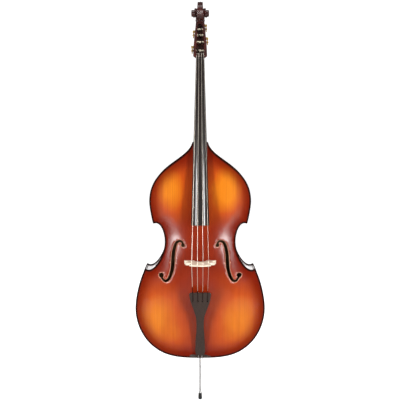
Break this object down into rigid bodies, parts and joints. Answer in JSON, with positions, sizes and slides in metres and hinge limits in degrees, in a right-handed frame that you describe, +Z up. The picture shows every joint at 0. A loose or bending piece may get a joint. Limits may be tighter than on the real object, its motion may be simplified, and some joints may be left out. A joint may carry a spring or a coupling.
{
  "type": "double bass",
  "caption": "Three-quarter size upright bass: arched body with f-holes, scroll neck, strings over a bridge, worm tuning machines and a sliding endpin.",
  "frame": {"origin": "middle of the flat underside of the rubber endpin tip", "axes": "+Z up along the instrument, +Y towards the back, so the top plate faces -Y, and +X to the treble side"},
  "size_m": [0.6656, 0.4148, 2.08],
  "materials": {
    "varnished_spruce": "satin sunburst varnish",
    "varnished_maple": "satin red-brown varnish",
    "dark_varnished_maple": "gloss dark red-brown varnish",
    "bare_spruce": "unfinished",
    "bridge_maple": "unfinished, rubbed smooth",
    "ebony": "polished, oiled",
    "string_steel": "flat-wound steel",
    "steel": "brushed",
    "brass": "aged, satin",
    "rubber": "matt"
  },
  "bodies": {
    "instrument": {"top_plate": "varnished_spruce", "back_plate": "varnished_maple", "rib_lower_bass": "varnished_maple", "lining_top_lower_bass": "bare_spruce", "lining_back_lower_bass": "bare_spruce", "rib_centre_bass": "varnished_maple", "lining_top_centre_bass": "bare_spruce", "lining_back_centre_bass": "bare_spruce", "rib_upper_bass": "varnished_maple", "lining_top_upper_bass": "bare_spruce", "lining_back_upper_bass": "bare_spruce", "corner_block_lower_bass": "bare_spruce", "corner_block_upper_bass": "bare_spruce", "rib_lower_treble": "varnished_maple", "lining_top_lower_treble": "bare_spruce", "lining_back_lower_treble": "bare_spruce", "rib_centre_treble": "varnished_maple", "lining_top_centre_treble": "bare_spruce", "lining_back_centre_treble": "bare_spruce", "rib_upper_treble": "varnished_maple", "lining_top_upper_treble": "bare_spruce", "lining_back_upper_treble": "bare_spruce", "corner_block_lower_treble": "bare_spruce", "corner_block_upper_treble": "bare_spruce", "neck_block": "bare_spruce", "end_block": "bare_spruce", "bass_bar": "bare_spruce", "sound_post": "bare_spruce", "neck": "dark_varnished_maple", "fingerboard": "ebony", "nut": "ebony", "bridge": "bridge_maple", "tailpiece": "ebony", "saddle": "ebony", "tail_wire": "steel", "endpin_collar": "brass", "tuner_plate_e": "brass", "string_e": "string_steel", "tuner_plate_g": "brass", "string_g": "string_steel", "tuner_plate_a": "brass", "string_a": "string_steel", "tuner_plate_d": "brass", "string_d": "string_steel"},
    "endpin": {"endpin_rod": "steel", "endpin_tip": "rubber", "tip_ring": "steel"},
    "thumb_screw": {"thumb_screw": "steel"},
    "key_e": {"worm_key_e": "brass"},
    "roller_e": {"gear_wheel_e": "brass", "roller_e": "brass"},
    "key_g": {"worm_key_g": "brass"},
    "roller_g": {"gear_wheel_g": "brass", "roller_g": "brass"},
    "key_a": {"worm_key_a": "brass"},
    "roller_a": {"gear_wheel_a": "brass", "roller_a": "brass"},
    "key_d": {"worm_key_d": "brass"},
    "roller_d": {"gear_wheel_d": "brass", "roller_d": "brass"}
  },
  "joints": [
    {"name": "endpin_slide", "type": "slide", "parent": "instrument", "child": "endpin", "axis": [0, 0, 1], "range_m": [-0.1, 0.18]},
    {"name": "thumb_screw_turn", "type": "hinge", "parent": "instrument", "child": "thumb_screw", "pos_m": [-0.022, 0, 0.2375], "axis": [1, 0, 0], "range_deg": [0, 540]},
    {"name": "key_e_turn", "type": "hinge", "parent": "instrument", "child": "key_e", "pos_m": [-0.04129, -0.00652, 1.84351], "axis": [0, 1, 0], "continuous": true},
    {"name": "roller_e_turn", "type": "hinge", "parent": "instrument", "child": "roller_e", "pos_m": [-0.03339, -0.00652, 1.825], "axis": [1, 0, 0], "continuous": true},
    {"name": "key_g_turn", "type": "hinge", "parent": "instrument", "child": "key_g", "pos_m": [0.0375, 0.00788, 1.88851], "axis": [0, 1, 0], "continuous": true},
    {"name": "roller_g_turn", "type": "hinge", "parent": "instrument", "child": "roller_g", "pos_m": [0.0296, 0.00788, 1.87], "axis": [1, 0, 0], "continuous": true},
    {"name": "key_a_turn", "type": "hinge", "parent": "instrument", "child": "key_a", "pos_m": [-0.0339, 0.0194, 1.92451], "axis": [0, 1, 0], "continuous": true},
    {"name": "roller_a_turn", "type": "hinge", "parent": "instrument", "child": "roller_a", "pos_m": [-0.026, 0.0194, 1.906], "axis": [1, 0, 0], "continuous": true},
    {"name": "key_d_turn", "type": "hinge", "parent": "instrument", "child": "key_d", "pos_m": [0.03086, 0.02964, 1.95651], "axis": [0, 1, 0], "continuous": true},
    {"name": "roller_d_turn", "type": "hinge", "parent": "instrument", "child": "roller_d", "pos_m": [0.02296, 0.02964, 1.938], "axis": [1, 0, 0], "continuous": true}
  ],
  "couplings": [
    {"joint": "roller_e_turn", "follows": "key_e_turn", "ratio": 0.05},
    {"joint": "roller_g_turn", "follows": "key_g_turn", "ratio": 0.05},
    {"joint": "roller_a_turn", "follows": "key_a_turn", "ratio": 0.05},
    {"joint": "roller_d_turn", "follows": "key_d_turn", "ratio": 0.05}
  ]
}
